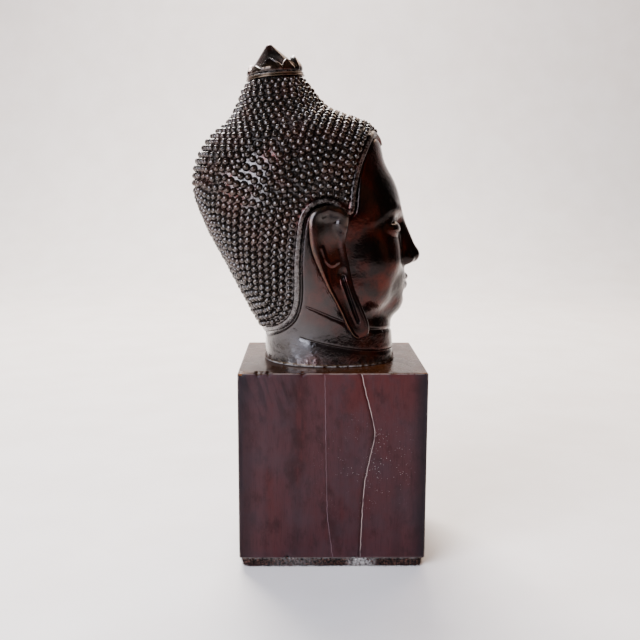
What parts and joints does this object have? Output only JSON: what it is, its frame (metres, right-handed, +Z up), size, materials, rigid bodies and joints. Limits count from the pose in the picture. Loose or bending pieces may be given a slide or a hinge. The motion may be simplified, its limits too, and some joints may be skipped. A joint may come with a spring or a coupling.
{
  "type": "buddha head bust",
  "caption": "Dark bronze buddha head with snail-curl hair, lotus-bud finial and long ears, standing on a dark wooden block with a felt underside.",
  "frame": {"origin": "centre of the felt pad's underside", "axes": "+Z up, the face looks along -Y, +X to the head's left"},
  "size_m": [0.09, 0.128, 0.2785],
  "materials": {
    "bronze": "dark brown, almost black patina on cast bronze, polished skin",
    "dark_wood": "dark purple-brown stained hardwood, worn wax",
    "dark_felt": "black-brown felt"
  },
  "bodies": {
    "root": {"bronze_head": "bronze", "wood_block": "dark_wood", "felt_pad": "dark_felt"}
  },
  "joints": []
}
